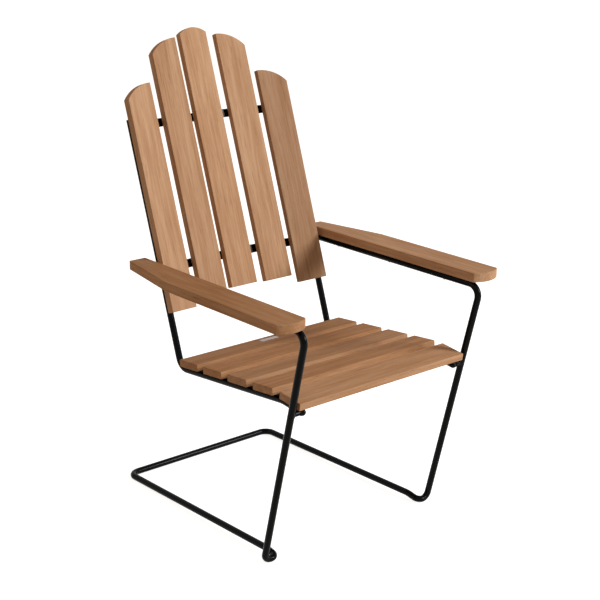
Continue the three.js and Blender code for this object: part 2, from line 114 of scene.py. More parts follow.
def linear(hex_colour):
    shades = [int(hex_colour[place:place + 2], 16) / 255 for place in (1, 3, 5)]
    knee, toe, offset, power = 0.04045, 12.92, 0.055, 2.4
    curve = [s / toe if s <= knee else ((s + offset) / (1 + offset)) ** power for s in shades]
    return (*curve, 1)


def add(tree, kind, inputs=None, **settings):
    node = tree.nodes.new(kind)
    for name, value in settings.items():
        setattr(node, name, value)
    for name, value in (inputs or {}).items():
        if isinstance(value, bpy.types.NodeSocket):
            tree.links.new(value, node.inputs[name])
        else:
            node.inputs[name].default_value = value
    return node


def new_finish(name):
    finish = bpy.data.materials.new(name)
    finish.use_nodes = True
    finish.node_tree.nodes.clear()
    return finish, finish.node_tree


def scale_for(wavelength_mm):
    """Noise of scale 1 repeats about once a metre, so a pattern's scale is one over its size."""
    return 1 / (wavelength_mm * MM)


print("mid grey #808080 is", round(linear("#808080")[0], 3), "in linear light")

# %% [markdown]
# The frame is mild steel with a polyester powder coat, baked on after welding. Powder flows into
# a skin with a faint orange-peel texture about a millimetre and a half across. It is a near-black
# plastic over metal, so the shader is not metallic. It reflects little, but sharply enough for a
# lamp to show as a thin line along a rod. Dust settles on it in patches of a few centimetres,
# which are a little greyer and duller.

# %% Black powder coat
peel_mm = 1.6
dust_mm = 60


def powder_coat():
    finish, tree = new_finish("black_powder_coat")
    place = add(tree, "ShaderNodeTexCoord").outputs["Object"]
    peel = add(tree, "ShaderNodeTexNoise", {
        "Vector": place, "Scale": scale_for(peel_mm), "Detail": 2,
    })
    dust = add(tree, "ShaderNodeTexNoise", {
        "Vector": place, "Scale": scale_for(dust_mm), "Detail": 3,
    })
    colour = add(tree, "ShaderNodeMix", {
        "Factor": dust.outputs["Fac"], "A": linear("#040404"), "B": linear("#080808"),
    }, data_type="RGBA")
    rough = add(tree, "ShaderNodeMapRange", {
        "Value": dust.outputs["Fac"], "To Min": 0.15, "To Max": 0.21,
    })
    bump = add(tree, "ShaderNodeBump", {
        "Height": peel.outputs["Fac"], "Strength": 0.25, "Distance": 0.05 * MM,
    })
    shader = add(tree, "ShaderNodeBsdfPrincipled", {
        "Base Color": colour.outputs["Result"], "Roughness": rough.outputs["Result"],
        "Normal": bump.outputs["Normal"], "IOR": 1.45, "Specular IOR Level": 0.07,
    })
    add(tree, "ShaderNodeOutputMaterial", {"Surface": shader.outputs["BSDF"]})
    return finish


black_steel = powder_coat()
print("finish:", black_steel.name)

# %% [markdown]
# The slats and arms are teak, planed, sanded and oiled. Teak is golden brown. Its grain runs
# nearly straight along a board, swaying by a few millimetres, in soft bands of light and dark,
# with finer streaks inside them and short dark dashes where long pores lie open. Each kind of
# mark is the same noise, drawn out to its own length and width. Every board carries its own
# coordinates in an attribute: along, across and through it, in metres, moved to another place in
# the log for each board. The grain then follows each board, however it is tilted, and no two
# boards match. Two more attributes hold the board's tone and redness: planks differ, and redness
# is partly painted warm shade as well. The last marks the end grain, which drinks more oil and is
# darker.

# %% Oiled teak
band_mm = (280, 22)
streak_mm = (130, 5.5)
fibre_mm = (46, 2.4)
pore_mm = (34, 2.6)  # real pores are finer, but would not show in the picture
vein_mm = (75, 4.2)
sway_mm = 300
sway_reach = 12 * MM


def oiled_teak():
    finish, tree = new_finish("oiled_teak")
    along = add(tree, "ShaderNodeAttribute", attribute_name="grain_place").outputs["Vector"]
    tone = add(tree, "ShaderNodeAttribute", attribute_name="board_tone").outputs["Fac"]
    redness = add(tree, "ShaderNodeAttribute", attribute_name="board_redness").outputs["Fac"]
    end = add(tree, "ShaderNodeAttribute", attribute_name="end_grain").outputs["Fac"]
    sway = add(tree, "ShaderNodeTexNoise", {
        "Vector": along, "Scale": scale_for(sway_mm), "Detail": 1,
    })
    swayed = add(tree, "ShaderNodeVectorMath", {
        0: sway.outputs["Color"], 1: (0, sway_reach, sway_reach), 2: along,
    }, operation="MULTIPLY_ADD").outputs["Vector"]

    def marks(size_mm, detail, low, high):
        length, width = size_mm
        stretch = (scale_for(length), scale_for(width), scale_for(width))
        drawn = add(tree, "ShaderNodeMapping", {"Vector": swayed, "Scale": stretch})
        noise = add(tree, "ShaderNodeTexNoise", {
            "Vector": drawn.outputs["Vector"], "Scale": 1, "Detail": detail,
        })
        return add(tree, "ShaderNodeMapRange", {
            "Value": noise.outputs["Fac"], "From Min": low, "From Max": high,
        }).outputs["Result"]

    def tint(colour, factor, strength, hex_colour):
        amount = add(tree, "ShaderNodeMath", {0: factor, 1: strength}, operation="MULTIPLY")
        return add(tree, "ShaderNodeMix", {
            "Factor": amount.outputs["Value"], "A": colour, "B": linear(hex_colour),
        }, data_type="RGBA").outputs["Result"]

    bands = marks(band_mm, detail=3, low=0.35, high=0.65)
    pale_streaks = marks(streak_mm, detail=3, low=0.50, high=0.72)
    dark_streaks = marks(streak_mm, detail=3, low=0.48, high=0.30)
    fibres = marks(fibre_mm, detail=3, low=0.3, high=0.7)
    veins = marks(vein_mm, detail=2, low=0.36, high=0.26)
    pores = marks(pore_mm, detail=1, low=0.60, high=0.72)
    ends = add(tree, "ShaderNodeMapRange", {"Value": end, "From Min": 0.5, "From Max": 0.95})
    wood = tint(linear("#b88a65"), bands, 1.0, "#cca17d")
    wood = tint(wood, pale_streaks, 0.42, "#dcb690")
    wood = tint(wood, dark_streaks, 0.26, "#9a6c47")
    wood = tint(wood, fibres, 0.24, "#c2956d")
    wood = tint(wood, veins, 0.42, "#8a5c3a")
    wood = tint(wood, pores, 0.24, "#83583a")
    wood = tint(wood, ends.outputs["Result"], 0.15, "#83583a")
    value = add(tree, "ShaderNodeMapRange", {"Value": tone, "To Min": 0.55, "To Max": 1.08})
    shaded = add(tree, "ShaderNodeHueSaturation", {"Value": value.outputs["Result"], "Color": wood})
    # redness: the board's own warmth, and on most flat boards partly painted warm shade
    reddened = add(tree, "ShaderNodeMix", {
        "Factor": redness, "A": shaded.outputs["Color"], "B": linear("#ffeed7"),
    }, data_type="RGBA", blend_type="MULTIPLY")
    rough = add(tree, "ShaderNodeMapRange", {"Value": fibres, "To Min": 0.66, "To Max": 0.52})
    grain_height = add(tree, "ShaderNodeMath", {0: fibres, 1: pores}, operation="SUBTRACT")
    bump = add(tree, "ShaderNodeBump", {
        "Height": grain_height.outputs["Value"], "Strength": 0.3, "Distance": 0.15 * MM,
    })
    shader = add(tree, "ShaderNodeBsdfPrincipled", {
        "Base Color": reddened.outputs["Result"], "Roughness": rough.outputs["Result"],
        "Normal": bump.outputs["Normal"], "IOR": 1.45, "Specular IOR Level": 0.04,
    })
    add(tree, "ShaderNodeOutputMaterial", {"Surface": shader.outputs["BSDF"]})
    return finish


teak = oiled_teak()
print("finish:", teak.name)

# %% [markdown]
# Two bright metals are left. The screws are stainless steel, turned and tumbled, so they are
# bright with a fine even haze. The small plate on the seat is anodised aluminium, brushed along
# its length: the brushing is noise drawn out far along X, and the anodising gives its soft grey.

# %% Stainless steel and anodised aluminium
tumble_mm = 0.7  # real marks are finer, as real brushing is, but would not show
brush_mm = 0.5
brush_length_mm = 30
haze = 0.08


def bright_metal(name, colour, roughness, wavelengths_mm, strength):
    finish, tree = new_finish(name)
    place = add(tree, "ShaderNodeTexCoord").outputs["Object"]
    drawn = add(tree, "ShaderNodeMapping", {
        "Vector": place, "Scale": [scale_for(wavelength) for wavelength in wavelengths_mm],
    })
    marks = add(tree, "ShaderNodeTexNoise", {
        "Vector": drawn.outputs["Vector"], "Scale": 1, "Detail": 3,
    })
    rough = add(tree, "ShaderNodeMapRange", {
        "Value": marks.outputs["Fac"], "To Min": roughness - haze, "To Max": roughness + haze,
    })
    bump = add(tree, "ShaderNodeBump", {
        "Height": marks.outputs["Fac"], "Strength": strength, "Distance": 0.03 * MM,
    })
    shader = add(tree, "ShaderNodeBsdfPrincipled", {
        "Base Color": linear(colour), "Metallic": 1, "Roughness": rough.outputs["Result"],
        "Normal": bump.outputs["Normal"],
    })
    add(tree, "ShaderNodeOutputMaterial", {"Surface": shader.outputs["BSDF"]})
    return finish


stainless = bright_metal(
    "tumbled_stainless_steel", "#b9babc", roughness=0.34,
    wavelengths_mm=(tumble_mm, tumble_mm, tumble_mm), strength=0.3,
)
aluminium = bright_metal(
    "brushed_anodised_aluminium", "#9c918c", roughness=0.38,
    wavelengths_mm=(brush_length_mm, brush_mm, brush_mm), strength=0.5,
)
print("finishes:", stainless.name, "and", aluminium.name)

# %% [markdown]
# A mesh is built in a bmesh and then becomes a piece of the chair. The piece rides on the chair's
# body, takes the place of one or more plain solids, and is compared with their box, so that a
# slip of even a millimetre shows in the printout. Normals are weighted by face area, which keeps
# flat faces flat next to their small rounded edges.

# %% Turn a bmesh into a piece
sharp_angle = math.radians(40)


def make_piece(bm, name, finish, slot, *nodes):
    bmesh.ops.recalc_face_normals(bm, faces=bm.faces)
    mesh = bpy.data.meshes.new(name)
    bm.to_mesh(mesh)
    bm.free()
    mesh.materials.append(finish)
    mesh.shade_smooth()
    mesh.set_sharp_from_angle(angle=sharp_angle)
    piece = bpy.data.objects.new(name, mesh)
    bpy.context.scene.collection.objects.link(piece)
    piece.modifiers.new("flat_faces_stay_flat", "WEIGHTED_NORMAL").keep_sharp = True
    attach(piece, "root")
    if nodes:
        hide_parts(*nodes)
        low = [min(vertex.co[axis] for vertex in mesh.vertices) for axis in range(3)]
        high = [max(vertex.co[axis] for vertex in mesh.vertices) for axis in range(3)]
        solid_low, solid_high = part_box(nodes[0])
        off = [abs(a - b) for a, b in zip(low + high, list(solid_low) + list(solid_high))]
        print(f"{name}: {len(mesh.polygons)} faces, at most {max(off) / MM:.2f} mm off its solid")


# %% [markdown]
# The chair stands on one continuous rod, 16 mm thick. A rod is bent cold: a straight run is fed
# through, the rod is turned round a die, and the next run is fed. The same two moves make the
# mesh. A circle is extruded along the straight run and then spun round the middle of the bend.
# The route is a table of the corners where the straight runs would meet, and each corner has its
# die's radius.

# %% Feed and bend
rod_radius = 8 * MM
rod_sides = 32
bend_step = math.radians(5)


def edges_in(geometry):
    return [part for part in geometry if isinstance(part, bmesh.types.BMEdge)]


def verts_in(geometry):
    return [part for part in geometry if isinstance(part, bmesh.types.BMVert)]


def each_once(parts):
    """A list without repeats. A set of mesh parts would come in another order in each run."""
    return list(dict.fromkeys(parts))


def facing(ahead, place):
    """The matrix that turns Z along ahead and moves the origin to place."""
    return Matrix.Translation(place) @ ahead.to_track_quat("Z", "X").to_matrix().to_4x4()


def section_ring(bm, centre, ahead, radius, segments=rod_sides):
    made = bmesh.ops.create_circle(
        bm, cap_ends=False, segments=segments, radius=radius, matrix=facing(ahead, centre),
    )
    return each_once(edge for vertex in made["verts"] for edge in vertex.link_edges)


def feed(bm, ring, step):
    made = verts_in(bmesh.ops.extrude_edge_only(bm, edges=ring)["geom"])
    bmesh.ops.translate(bm, verts=made, vec=step)
    moved = set(made)
    return each_once(e for v in made for e in v.link_edges if moved.issuperset(e.verts))


def bend(bm, ring, centre, axis, turn):
    corners = each_once(vertex for edge in ring for vertex in edge.verts)
    made = bmesh.ops.spin(
        bm, geom=ring + corners, cent=centre, axis=axis, angle=turn,
        steps=math.ceil(turn / bend_step),
    )
    return edges_in(made["geom_last"])


def draw_stock(bm, ring, corners, radii):
    """Feeds and bends a ring of edges along a route, and returns the ring at its far end."""
    place = corners[0]
    for before, corner, after, radius in zip(corners, corners[1:], corners[2:], radii):
        into = (corner - before).normalized()
        out_of = (after - corner).normalized()
        turn = into.angle(out_of)
        trim = radius * math.tan(turn / 2)
        ring = feed(bm, ring, corner - into * trim - place)
        axis = into.cross(out_of).normalized()
        middle = corner - into * trim + axis.cross(into) * radius
        ring = bend(bm, ring, middle, axis, turn)
        place = corner + out_of * trim
    return feed(bm, ring, corners[-1] - place)


print("a right-angled bend takes", math.ceil(math.radians(90) / bend_step), "steps")

# %% [markdown]
# Few edges on a real chair are quite sharp. Steel is filed after the saw, and wood is run over
# with a small round cutter. A bevel makes both. Its defaults in bmesh aren't the editor's, so it
# is told to work on edges, how many steps to take and that the profile is round. A material of -1
# lets the new faces keep the one that their neighbours have.

# %% Round an edge
cut_edge = 0.8 * MM
edge_steps = 3
small_edge_steps = 2


def sharp_edges(bm):
    return [edge for edge in bm.edges if edge.calc_face_angle(0) > sharp_angle]


def ease(bm, edges, offset, steps=edge_steps):
    bmesh.ops.bevel(
        bm, geom=edges, offset=offset, offset_type="OFFSET", segments=steps, profile=0.5,
        affect="EDGES", material=-1,
    )


def close_end(bm, ring, offset, steps=edge_steps):
    """Closes a ring with a flat face and rounds the edge round it."""
    bmesh.ops.edgeloop_fill(bm, edges=ring)
    ease(bm, ring, offset, steps)


print("a sawn end is rounded by", round(cut_edge / MM, 1), "mm in", edge_steps, "steps")

# %% [markdown]
# Screw holes and the joints cut to fit a rod are taken out of a finished mesh with a Boolean, as
# a drill or a hole saw takes them out of the steel. The cutters are cylinders between two points.

# %% Drill


def rod_between(bm, start, end, radius):
    ahead = end - start
    bmesh.ops.create_cone(
        bm, cap_ends=True, segments=rod_sides, radius1=radius, radius2=radius,
        depth=ahead.length, matrix=facing(ahead, (start + end) / 2),
    )


def object_of(bm, name):
    mesh = bpy.data.meshes.new(name)
    bm.to_mesh(mesh)
    bm.free()
    made = bpy.data.objects.new(name, mesh)
    bpy.context.scene.collection.objects.link(made)
    return made


def drill(bm, cutter):
    """Takes the cutter's shape out of the mesh and returns the drilled mesh."""
    bmesh.ops.recalc_face_normals(bm, faces=bm.faces)
    blank = object_of(bm, "blank")
    tool = object_of(cutter, "tool")
    hole = blank.modifiers.new("hole", "BOOLEAN")
    hole.operation = "DIFFERENCE"
    hole.solver = "EXACT"
    hole.use_self = True
    hole.object = tool
    depsgraph = bpy.context.evaluated_depsgraph_get()
    drilled = bmesh.new()
    drilled.from_object(blank, depsgraph)
    for used in (blank, tool):
        bpy.data.objects.remove(used)
    return drilled


# %% [markdown]
# The base rod runs from the back of one arm, down the leg, round the foot, back along the floor
# and across the rear, and then the same way up the other side. The table gives the left side, and
# the right side is its mirror image in reverse. Three screws come up through each arm rod, and
# their heads sit in shallow round seats drilled in its underside.

# %% Base rod
left_route = [
    Vector((262.489, 196.129, 585.096)) * MM,
    Vector((262.489, -370.639, 579.952)) * MM,
    Vector((258.098, -227.013, 8.152)) * MM,
    Vector((226.0, -232.013, 8.152)) * MM,
    Vector((226.0, -194.013, 15.352)) * MM,
    Vector((226.0, 355.987, 8.152)) * MM,
]
left_dies = [26 * MM, 14.5 * MM, 14.5 * MM, 80 * MM, 26 * MM]
arm_screw_spots = [112.527 * MM, 296.396 * MM, 480.265 * MM]
head_seat_radius = 4.8 * MM
head_seat_depth = 2.2 * MM


def mirrored(point, side):
    return Vector((side * point.x, point.y, point.z))


arm_ahead = (left_route[0] - left_route[1]).normalized()
arm_up = Vector((0, -arm_ahead.z, arm_ahead.y))


def make_base_rod():
    right_route = [mirrored(point, -1) for point in left_route]
    route = left_route + right_route[::-1]
    bm = bmesh.new()
    first = section_ring(bm, route[0], -arm_ahead, rod_radius)
    last = draw_stock(bm, list(first), route, left_dies + left_dies[::-1])
    close_end(bm, first, cut_edge)
    close_end(bm, last, cut_edge)
    seats = bmesh.new()
    for side in (1, -1):
        for spot in arm_screw_spots:
            on_rod = mirrored(left_route[1] + arm_ahead * spot, side)
            below = on_rod - arm_up * 2 * rod_radius
            bottom = on_rod - arm_up * (rod_radius - head_seat_depth)
            rod_between(seats, below, bottom, head_seat_radius)
    make_piece(drill(bm, seats), "bent_base_rod", black_steel, "frame_steel", "base_rod")


make_base_rod()

# %% [markdown]
# Each side rod starts at the top of the back, turns the seat corner, carries the seat forward and
# ends in a rounded tip in front of the leg. The tip is a plain cut end whose edge is beveled by
# nearly the rod's whole radius, which turns it into a dome.

# %% Side rods
side_route = [
    Vector((231.0, 296.921, 927.039)) * MM,
    Vector((231.0, 111.528, 364.818)) * MM,
    Vector((231.0, -260.197, 394.399)) * MM,
    Vector((231.0, -322.926, 385.918)) * MM,
]
side_dies = [30 * MM, 90 * MM]
dome_radius = 0.98 * rod_radius  # the whole radius would shrink the end face to nothing
dome_steps = 8
sides = {"left": 1, "right": -1}


def make_side_rod(name, side):
    route = [mirrored(point, side) for point in side_route]
    forward = (route[3] - route[2]).normalized()
    route[3] = route[3] + forward * rod_radius
    bm = bmesh.new()
    first = section_ring(bm, route[0], route[1] - route[0], rod_radius)
    last = draw_stock(bm, list(first), route, side_dies)
    close_end(bm, first, cut_edge)
    close_end(bm, last, dome_radius, dome_steps)
    make_piece(bm, f"bent_side_rod_{name}", black_steel, "frame_steel", f"side_rod_{name}")


for name, side in sides.items():
    make_side_rod(name, side)

# %% [markdown]
# Short round links join each side rod to the base rod, one at the leg and one at the arm. They
# are cut to the rods' roundness and welded all round. A weld bead is a small ring of metal, and
# on a round rod it rises and falls like a saddle: a torus is spun round the link, and each of its
# points is then moved along the link to the depth where the rod's surface lies.

# %% Links and their welds
link_radius = 6 * MM
link_place = Vector((231.0, -321.935, 386.052)) * MM
leg_line = (left_route[2], left_route[1])
arm_link_place = Vector((231.0, 184.129, 584.987)) * MM
bead_radius = 1.7 * MM
bead_sides = 10
bead_turns = 40
ripple = 0.25 * MM
ripples = 13


def point_at_height(line, height):
    low, high = line
    return low.lerp(high, (height - low.z) / (high.z - low.z))


def add_bead(bm, middle, rod_ahead, outwards):
    """A ring of weld where a link along X meets a rod that passes through middle."""
    reach = link_radius + bead_radius / 3
    start = Vector((middle.x, middle.y, middle.z + reach))
    ring = section_ring(bm, start, Vector((0, 1, 0)), bead_radius, bead_sides)
    corners = each_once(vertex for edge in ring for vertex in edge.verts)
    bmesh.ops.spin(
        bm, geom=ring + corners, cent=middle, axis=Vector((1, 0, 0)), angle=2 * math.pi,
        steps=bead_turns, use_merge=True,
    )
    made = set(corners)
    grown = list(corners)
    while grown:
        linked = {e.other_vert(v) for v in grown for e in v.link_edges} - made
        made |= linked
        grown = list(linked)
    for vertex in made:
        across = vertex.co - middle
        across.x = 0
        aside = across - rod_ahead * across.dot(rod_ahead)
        depth = math.sqrt(max(rod_radius ** 2 - aside.length_squared, 0))
        angle = math.atan2(across.y, across.z)
        vertex.co.x += outwards * depth + ripple * math.sin(ripples * angle)


def make_link(name, side, inner, outer, rods):
    bm = bmesh.new()
    rod_between(bm, mirrored(inner, side), mirrored(outer, side), link_radius)
    room = bmesh.new()
    for start, end in rods:
        rod_between(room, mirrored(start, side), mirrored(end, side), rod_radius)
    bm = drill(bm, room)
    for middle, (start, end), outwards in zip((inner, outer), rods, (side, -side)):
        ahead = mirrored(end - start, side)
        ahead.x = 0
        add_bead(bm, mirrored(middle, side), ahead.normalized(), outwards)
    make_piece(bm, f"welded_{name}", black_steel, "frame_steel", name)


for name, side in sides.items():
    leg_point = point_at_height(leg_line, link_place.z)
    leg_end = Vector((leg_point.x, link_place.y, link_place.z))
    rods = [(side_route[2], side_route[3] * 2 - side_route[2]), leg_line]
    make_link(f"leg_link_{name}", side, link_place, leg_end, rods)
    arm_end = Vector((left_route[0].x, arm_link_place.y, arm_link_place.z))
    arm_line = (left_route[1], left_route[0] + arm_ahead * rod_radius)
    rods = [(side_route[1], side_route[0]), arm_line]
    make_link(f"arm_link_{name}", side, arm_link_place, arm_end, rods)

# %% [markdown]
# Two flat bars, 20 by 4 mm, cross the back and carry its slats. They are rolled to a wide curve,
# so the back is hollow like a barrel stave, and each slat is turned to touch the curve. The curve
# lies level while the back leans, so seen along the slats a bar comes lower towards its ends.
# From here on, places on the back are given in the back's own axes: X across, Y to the rear and
# Z up along the side rods. One matrix turns them into the chair's.

# %% The back's axes and its curve
seat_corner = Vector((0, 111.528, 364.818)) * MM
recline = math.radians(18.25)
back_frame = Matrix.Translation(seat_corner) @ Matrix.Rotation(-recline, 4, "X")
rail_x = 231.0 * MM
curve_radius = 1250 * MM
curve_middle = Vector((0, -1236.170, 0)) * MM
bar_slope = math.tan(recline)
slat_steps = [2, 1, 0, -1, -2]
slat_pitch = 102 * MM
slat_shifts = [-1.504 * MM, 0.611 * MM, -3.807 * MM, 2.209 * MM, -1.2925 * MM]
slat_turns = [
    (steps * slat_pitch + shift) / curve_radius for steps, shift in zip(slat_steps, slat_shifts)
]


def bar_drop(turn):
    return curve_radius * (1 - math.cos(turn)) * bar_slope


print("slats turned by", [round(math.degrees(turn), 1) for turn in slat_turns], "degrees")

# %% [markdown]
# A bar is a flat rectangle, spun round the middle of the curve, and a shear gives it its drop
# towards the ends. A hole is drilled behind each slat. The ends are cut to fit the side rods, and
# a weld runs down each side of the joint.

# %% Crossbars
bar_thickness = 4 * MM
bar_height = 20 * MM
bar_rises = {"lower": 239.1 * MM, "upper": 579.1 * MM}
bar_edge = 0.7 * MM
bar_steps = 48
hole_radius = 2.7 * MM
weld_places = (  # inwards and to the rear, from the middle of a side rod
    (2.5 * MM, -rod_radius), (rod_radius, -3.4 * MM),
)
weld_facets = (12, 16)
weld_swell = 0.12


def add_rectangle(bm, width, height):
    made = bmesh.ops.create_grid(bm, x_segments=1, y_segments=1, size=0.5)["verts"]  # half a side
    bmesh.ops.scale(bm, verts=made, vec=(width, height, 1))
    return made


def edge_at_end(edge):
    """The bar's two end faces look along X, and its front, rear, top and bottom don't."""
    return any(
        abs(face.normal.x) > abs(face.normal.y) and abs(face.normal.z) < 0.5
        for face in edge.link_faces
    )


def add_fillet(bm, middle):
    """A straight weld bead along the rod, as long as the bar is high."""
    around, down = weld_facets
    made = bmesh.ops.create_uvsphere(bm, u_segments=around, v_segments=down, radius=1)["verts"]
    for vertex in made:
        swell = 1 + weld_swell * math.sin(ripples * vertex.co.z)
        vertex.co.x *= swell
        vertex.co.y *= swell
    bmesh.ops.scale(bm, verts=made, vec=(bead_radius, bead_radius, bar_height / 2))
    bmesh.ops.translate(bm, verts=made, vec=middle)


def make_crossbar(name, rise):
    bm = bmesh.new()
    half_turn = math.asin(rail_x / curve_radius)
    made = add_rectangle(bm, bar_thickness, bar_height)
    standing = Matrix((Vector((0, 0, 1)), Vector((1, 0, 0)), Vector((0, 1, 0)))).to_4x4()
    outer = Vector((0, curve_radius + bar_thickness / 2, 0))
    swing = Matrix.Rotation(-half_turn, 4, "Z")
    bmesh.ops.transform(bm, verts=made, matrix=swing @ Matrix.Translation(outer) @ standing)
    bmesh.ops.spin(
        bm, geom=bm.verts[:] + bm.edges[:] + bm.faces[:], cent=(0, 0, 0), axis=(0, 0, 1),
        angle=2 * half_turn, steps=bar_steps,
    )
    bmesh.ops.recalc_face_normals(bm, faces=bm.faces)
    long_edges = [edge for edge in sharp_edges(bm) if not edge_at_end(edge)]
    ease(bm, long_edges, bar_edge, small_edge_steps)
    level_curve = Matrix.Shear("XZ", 4, (0, bar_slope))
    lift = Vector((0, 0, rise - curve_radius * bar_slope))
    onto_back = Matrix.Translation(curve_middle + lift)
    bmesh.ops.transform(bm, verts=bm.verts, matrix=onto_back @ level_curve)
    end_rise = rise - bar_drop(half_turn)
    room = bmesh.new()
    for side in sides.values():
        foot = Vector((side * rail_x, 0, end_rise - bar_height))
        rod_between(room, foot, foot + Vector((0, 0, 2 * bar_height)), rod_radius)
    for turn in slat_turns:
        swing = Matrix.Rotation(-turn, 4, "Z")
        level = rise - bar_drop(turn)
        front = swing @ Vector((0, curve_radius - bar_thickness, level)) + curve_middle
        rear = swing @ Vector((0, curve_radius + 2 * bar_thickness, level)) + curve_middle
        rod_between(room, front, rear, hole_radius)
    bm = drill(bm, room)
    for side in sides.values():
        for inwards, rearwards in weld_places:
            add_fillet(bm, Vector((side * (rail_x - inwards), rearwards, end_rise)))
    bmesh.ops.transform(bm, verts=bm.verts, matrix=back_frame)
    make_piece(bm, f"curved_{name}", black_steel, "frame_steel", name)


for level, rise in bar_rises.items():
    make_crossbar(f"{level}_crossbar", rise)

# %% [markdown]
# A flat strip lies on each rail and carries the seat slats. It is 25 by 3 mm and bends with the
# rail at the front. It is drawn in the same way as the rods, from a rectangle instead of a
# circle.

# %% Seat strips
seat_pitch = math.radians(4.55)
front_drop = math.radians(7.7)
rail_bend = Vector((0, -260.197, 394.399)) * MM
rail_frame = Matrix.Translation(rail_bend) @ Matrix.Rotation(-seat_pitch, 4, "X")
front_frame = Matrix.Translation(rail_bend) @ Matrix.Rotation(front_drop, 4, "X")
strip_width = 25 * MM
strip_thickness = 3 * MM
strip_outer_x = 233 * MM
strip_level = 8.3 * MM
strip_rear = 344.5 * MM
strip_front = 65.3 * MM
strip_bend_radius = 100 * MM
strip_screw_x = 216 * MM
rail_slat_places = [318.5 * MM, 228.0 * MM, 137.5 * MM, 47.0 * MM]
front_slat_place = -40.5 * MM
seat_places = [(rail_frame, place) for place in rail_slat_places]
seat_places.append((front_frame, front_slat_place))


def make_seat_strip(name, side):
    middle_x = side * (strip_outer_x - strip_width / 2)
    level = strip_level + strip_thickness / 2
    rear = rail_frame @ Vector((middle_x, strip_rear, level))
    front = front_frame @ Vector((middle_x, -strip_front, level))
    half_bend = (seat_pitch + front_drop) / 2
    lean = (seat_pitch - front_drop) / 2
    reach = level / math.cos(half_bend)
    crease = rail_bend + Vector((middle_x, reach * math.sin(lean), reach * math.cos(lean)))
    bm = bmesh.new()
    made = add_rectangle(bm, strip_width, strip_thickness)
    bmesh.ops.delete(bm, geom=bm.faces[:], context="FACES_ONLY")
    upright = Matrix.Rotation(math.pi / 2 - seat_pitch, 4, "X")
    bmesh.ops.transform(bm, verts=made, matrix=Matrix.Translation(rear) @ upright)
    first = bm.edges[:]
    last = draw_stock(bm, list(first), [rear, crease, front], [strip_bend_radius])
    bmesh.ops.edgeloop_fill(bm, edges=first)
    bmesh.ops.edgeloop_fill(bm, edges=last)
    bmesh.ops.recalc_face_normals(bm, faces=bm.faces)
    ease(bm, sharp_edges(bm), bar_edge, small_edge_steps)
    room = bmesh.new()
    for frame_here, place in seat_places:
        low = frame_here @ Vector((side * strip_screw_x, place, strip_level - strip_thickness))
        high = frame_here @ Vector((side * strip_screw_x, place, strip_level + 2 * strip_thickness))
        rod_between(room, low, high, hole_radius)
    make_piece(drill(bm, room), f"flat_{name}", black_steel, "frame_steel", name)


for name, side in sides.items():
    make_seat_strip(f"seat_strip_{name}", side)

# %% [markdown]
# Boards are modelled lying flat: X runs along the grain, Y across it and Z through the board.
# Once the shape is done, each point's place is written to the grain attribute, with a seeded
# shift to another part of the log, and only then is the board moved to its place on the chair.
# The random draws are seeded, so every run cuts the same boards. Tone and redness follow the
# picture. Tone goes from 0 for the darkest plank to 1 for the palest, and redness from 0 to 1.
# Redness warms a board's colour, as oil does teak. Most of the boards that lie flat get more of
# it than the upright ones: on their tops it is partly painted warm shade.

# %% Grain on a board
log = random.Random(20)
shift_along = (0, 8)  # in metres, as the next two are
shift_across = (0.06, 0.16)
shift_through = (-0.09, 0.09)
planks = {
    "back_slat_1": (0.31, 0.05), "back_slat_2": (0.69, 0), "back_slat_3": (0.73, 0.05),
    "back_slat_4": (0.58, 0.05), "back_slat_5": (0.67, 0.05), "seat_slat_1": (0.36, 0.7),
    "seat_slat_2": (0.48, 0.8), "seat_slat_3": (0.47, 0.4), "seat_slat_4": (0.52, 0.6),
    "seat_slat_5": (0.58, 0.25), "armrest_left": (0.7, 0), "armrest_right": (0.37, 0.7),
}


def write_grain(bm, tone, redness):
    shift = Vector([log.uniform(*span) for span in (shift_along, shift_across, shift_through)])
    place = bm.verts.layers.float_vector.new("grain_place")
    board_tone = bm.verts.layers.float.new("board_tone")
    board_redness = bm.verts.layers.float.new("board_redness")
    end_grain = bm.verts.layers.float.new("end_grain")
    bmesh.ops.recalc_face_normals(bm, faces=bm.faces)
    bm.normal_update()
    for vertex in bm.verts:
        vertex[place] = vertex.co + shift
        vertex[board_tone] = tone
        vertex[board_redness] = redness
        vertex[end_grain] = abs(vertex.normal.x)


def place_board(bm, matrix, node):
    write_grain(bm, *planks[node])
    bmesh.ops.transform(bm, verts=bm.verts, matrix=matrix)
    make_piece(bm, f"oiled_{node}", teak, "slat_wood", node)


print("planks:", len(planks))

# %% [markdown]
# The five seat slats are plain boards, 500 by 68 by 17 mm, with every edge run over by a small
# round cutter. A cube is scaled to size and its edges are beveled. Four lie on the rails, and the
# fifth lies on the dropped front.

# %% Seat slats
seat_slat_size = (500 * MM, 68 * MM, 17 * MM)
seat_slat_edge = 2 * MM
round_edge_steps = 4
slat_level = 11.6 * MM


def add_block(bm, size):
    made = bmesh.ops.create_cube(bm, size=1)["verts"]
    bmesh.ops.scale(bm, verts=made, vec=size)
    return made


def make_seat_slat(name, frame_here, place):
    bm = bmesh.new()
    add_block(bm, seat_slat_size)
    ease(bm, bm.edges[:], seat_slat_edge, round_edge_steps)
    middle = Vector((0, place, slat_level + seat_slat_size[2] / 2))
    place_board(bm, frame_here @ Matrix.Translation(middle), name)


for number, (frame_here, place) in enumerate(seat_places, start=1):
    make_seat_slat(f"seat_slat_{number}", frame_here, place)

# %% [markdown]
# Back slats and arms have one curved end. Their outline is drawn as a joiner marks it out: a
# point is spun round the arc's middle, and the line then goes on straight from corner to corner
# until it meets itself. The outline is filled, extruded to the board's thickness and eased along
# all its edges.

# %% Marking out a board
fewest_arc_steps = 8


